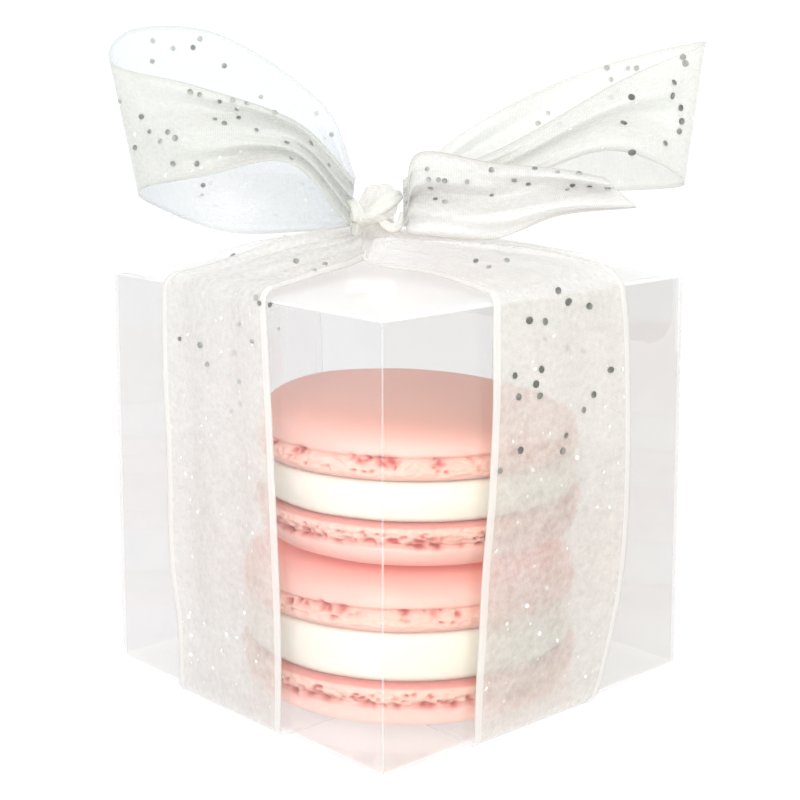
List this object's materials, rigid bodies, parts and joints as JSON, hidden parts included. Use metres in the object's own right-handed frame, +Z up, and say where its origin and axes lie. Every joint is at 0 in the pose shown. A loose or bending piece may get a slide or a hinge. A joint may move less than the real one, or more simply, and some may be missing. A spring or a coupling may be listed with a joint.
{
  "type": "clear gift box of macarons",
  "caption": "Clear folded cube box holding stacked pink macarons with cream filling, tied both ways with a wide sheer ribbon and a bow.",
  "frame": {"origin": "middle of the square box in plan, on the underside of the ribbon crossing that the tied box stands on", "axes": "+Z up; +X is the outward normal of the right-hand visible face of the box, -Y that of the left-hand visible face"},
  "size_m": [0.0635, 0.0563, 0.0827],
  "materials": {
    "clear_plastic": "thin clear plastic sheet, glossy, folded",
    "macaron_shell": "baked pink almond shell, smooth satin dome over a craggy foot",
    "cream_filling": "smooth pale cream",
    "sheer_ribbon": "sheer woven ribbon with glossy selvedges and small glitter spots"
  },
  "bodies": {
    "root": {"clear_box": "clear_plastic", "macaron_lower_bottom_shell": "macaron_shell", "macaron_lower_filling": "cream_filling", "macaron_lower_top_shell": "macaron_shell", "macaron_upper_bottom_shell": "macaron_shell", "macaron_upper_filling": "cream_filling", "macaron_upper_top_shell": "macaron_shell", "ribbon_wrap": "sheer_ribbon", "bow_knot": "sheer_ribbon", "bow_loop_left": "sheer_ribbon", "bow_loop_right": "sheer_ribbon", "bow_tail_left": "sheer_ribbon", "bow_tail_right": "sheer_ribbon"}
  },
  "joints": []
}
